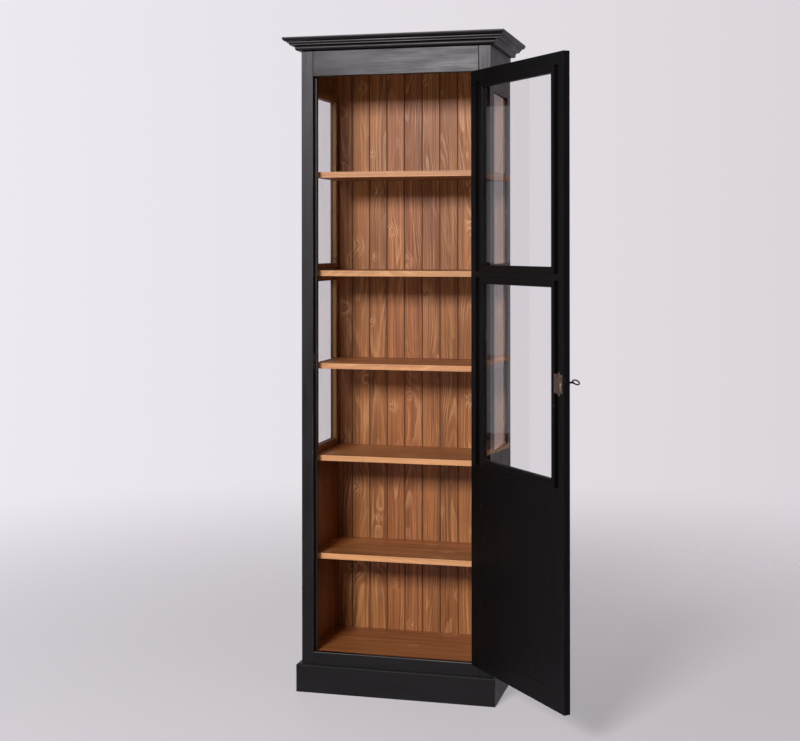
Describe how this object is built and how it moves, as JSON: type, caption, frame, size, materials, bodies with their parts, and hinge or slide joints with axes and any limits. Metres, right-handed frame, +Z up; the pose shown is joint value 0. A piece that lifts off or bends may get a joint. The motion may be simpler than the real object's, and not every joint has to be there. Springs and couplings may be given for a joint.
{
  "type": "bookcase",
  "caption": "Tall narrow bookcase with glazed sides, wooden shelves and a hinged door with panes over a solid panel, under a moulded cornice.",
  "frame": {"origin": "on the floor, in the middle of the underside of the front plinth board", "axes": "+Z up, +Y from the front to the back, +X to the right as seen from the front; the door stands open 130 degrees at rest"},
  "size_m": [0.9984, 0.7897, 2.1],
  "materials": {
    "black_paint": "black satin paint, worn at the edges",
    "stained_pine": "brown stained pine, satin",
    "glass": "clear",
    "bronze": "dark bronzed",
    "iron": "black",
    "steel": "dull"
  },
  "bodies": {
    "cabinet": {"left_face_stile": "black_paint", "right_face_stile": "black_paint", "frieze_rail": "black_paint", "sill_rail": "black_paint", "strike_plate": "steel", "door_stop_strip": "black_paint", "left_front_stile": "black_paint", "left_rear_stile": "black_paint", "left_top_rail": "black_paint", "left_mid_rail": "black_paint", "left_lower_board": "black_paint", "left_upper_glass": "glass", "left_lower_glass": "glass", "right_front_stile": "black_paint", "right_rear_stile": "black_paint", "right_top_rail": "black_paint", "right_mid_rail": "black_paint", "right_lower_board": "black_paint", "right_upper_glass": "glass", "right_lower_glass": "glass", "top_board": "stained_pine", "bottom_board": "stained_pine", "shelf_1": "stained_pine", "shelf_2": "stained_pine", "shelf_3": "stained_pine", "shelf_4": "stained_pine", "shelf_5": "stained_pine", "back_board_1": "stained_pine", "back_board_2": "stained_pine", "back_board_3": "stained_pine", "back_board_4": "stained_pine", "back_board_5": "stained_pine", "back_board_6": "stained_pine", "back_board_7": "stained_pine", "back_board_8": "stained_pine", "back_board_9": "stained_pine", "back_board_10": "stained_pine", "plinth_front": "black_paint", "plinth_left": "black_paint", "plinth_right": "black_paint", "cornice_front": "black_paint", "cornice_left": "black_paint", "cornice_right": "black_paint", "hinge_1_fixed_leaf": "iron", "hinge_2_fixed_leaf": "iron"},
    "door": {"door_hinge_stile": "black_paint", "door_lock_stile": "black_paint", "door_top_rail": "black_paint", "door_mid_rail": "black_paint", "door_lock_rail": "black_paint", "door_bottom_rail": "black_paint", "door_panel": "black_paint", "door_upper_glass": "glass", "door_lower_glass": "glass", "lock_case": "bronze", "escutcheon": "bronze", "hinge_1_door_leaf": "iron", "hinge_2_door_leaf": "iron"},
    "bolt": {"lock_bolt": "steel"},
    "key": {"key": "iron"}
  },
  "joints": [
    {"name": "door_swing", "type": "hinge", "parent": "cabinet", "child": "door", "pos_m": [0.27125, 0.0015, 1.05], "axis": [0, 0, 1], "range_deg": [-130, 45]},
    {"name": "key_turn", "type": "hinge", "parent": "door", "child": "key", "pos_m": [0.60277, -0.39359, 1.05], "axis": [0.766, 0.6428, 0], "range_deg": [0, 116]},
    {"name": "bolt_throw", "type": "slide", "parent": "door", "child": "bolt", "axis": [0.6428, -0.766, 0], "range_m": [0, 0.008]}
  ],
  "couplings": [
    {"joint": "bolt_throw", "follows": "key_turn", "m_per_rad": 0.00395}
  ]
}
